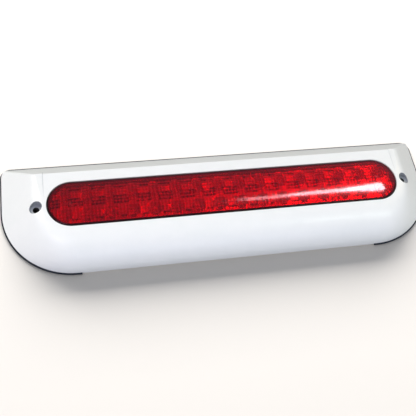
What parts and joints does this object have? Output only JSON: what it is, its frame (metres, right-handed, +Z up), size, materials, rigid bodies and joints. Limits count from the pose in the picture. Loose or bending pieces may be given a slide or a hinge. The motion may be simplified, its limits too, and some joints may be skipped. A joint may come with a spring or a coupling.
{
  "type": "third brake light",
  "caption": "High-mount vehicle brake light: white surface-mounted housing with a long round-ended red LED lamp module and a screw hole at each end.",
  "frame": {"origin": "on the mounting plane, midway between the two mounting screw holes", "axes": "+Z up as installed, -Y out of the lens towards the viewer, +Y into the vehicle body, X along the lamp"},
  "size_m": [0.3874, 0.033, 0.1044],
  "materials": {
    "white_housing": "white moulded plastic with a soft gloss",
    "black_foam": "closed-cell foam, matt black",
    "red_lens": "clear red lens plastic, polished outside, fine pillow optics inside",
    "black_rubber": "black moulded rubber",
    "tray_plastic": "black moulded plastic, fine texture",
    "screw_steel": "zinc plated steel",
    "vent_plastic": "grey moulded plastic",
    "bright_reflector": "bright metallised plastic",
    "led_resin": "red tinted resin",
    "board_laminate": "green solder mask on laminate",
    "component_black": "black moulded packages",
    "capacitor_can": "plain aluminium can",
    "connector_plastic": "black moulded plastic",
    "orange_seal": "silicone rubber",
    "terminal_metal": "tinned brass strip"
  },
  "bodies": {
    "root": {"housing": "white_housing", "mounting_gasket": "black_foam", "lens": "red_lens", "lens_gasket": "black_rubber", "tray_seal": "black_rubber", "lamp_tray": "tray_plastic", "tray_screws": "screw_steel", "vent_plug": "vent_plastic", "reflector": "bright_reflector", "leds_upper_row": "led_resin", "leds_lower_row": "led_resin", "led_board": "board_laminate", "board_screws": "screw_steel", "dropping_resistors": "component_black", "polarity_diode": "component_black", "surge_suppressor": "component_black", "current_regulator": "component_black", "filter_capacitor": "capacitor_can", "connector_socket": "connector_plastic", "connector_seal": "orange_seal", "power_pin": "terminal_metal", "ground_pin": "terminal_metal"}
  },
  "joints": []
}
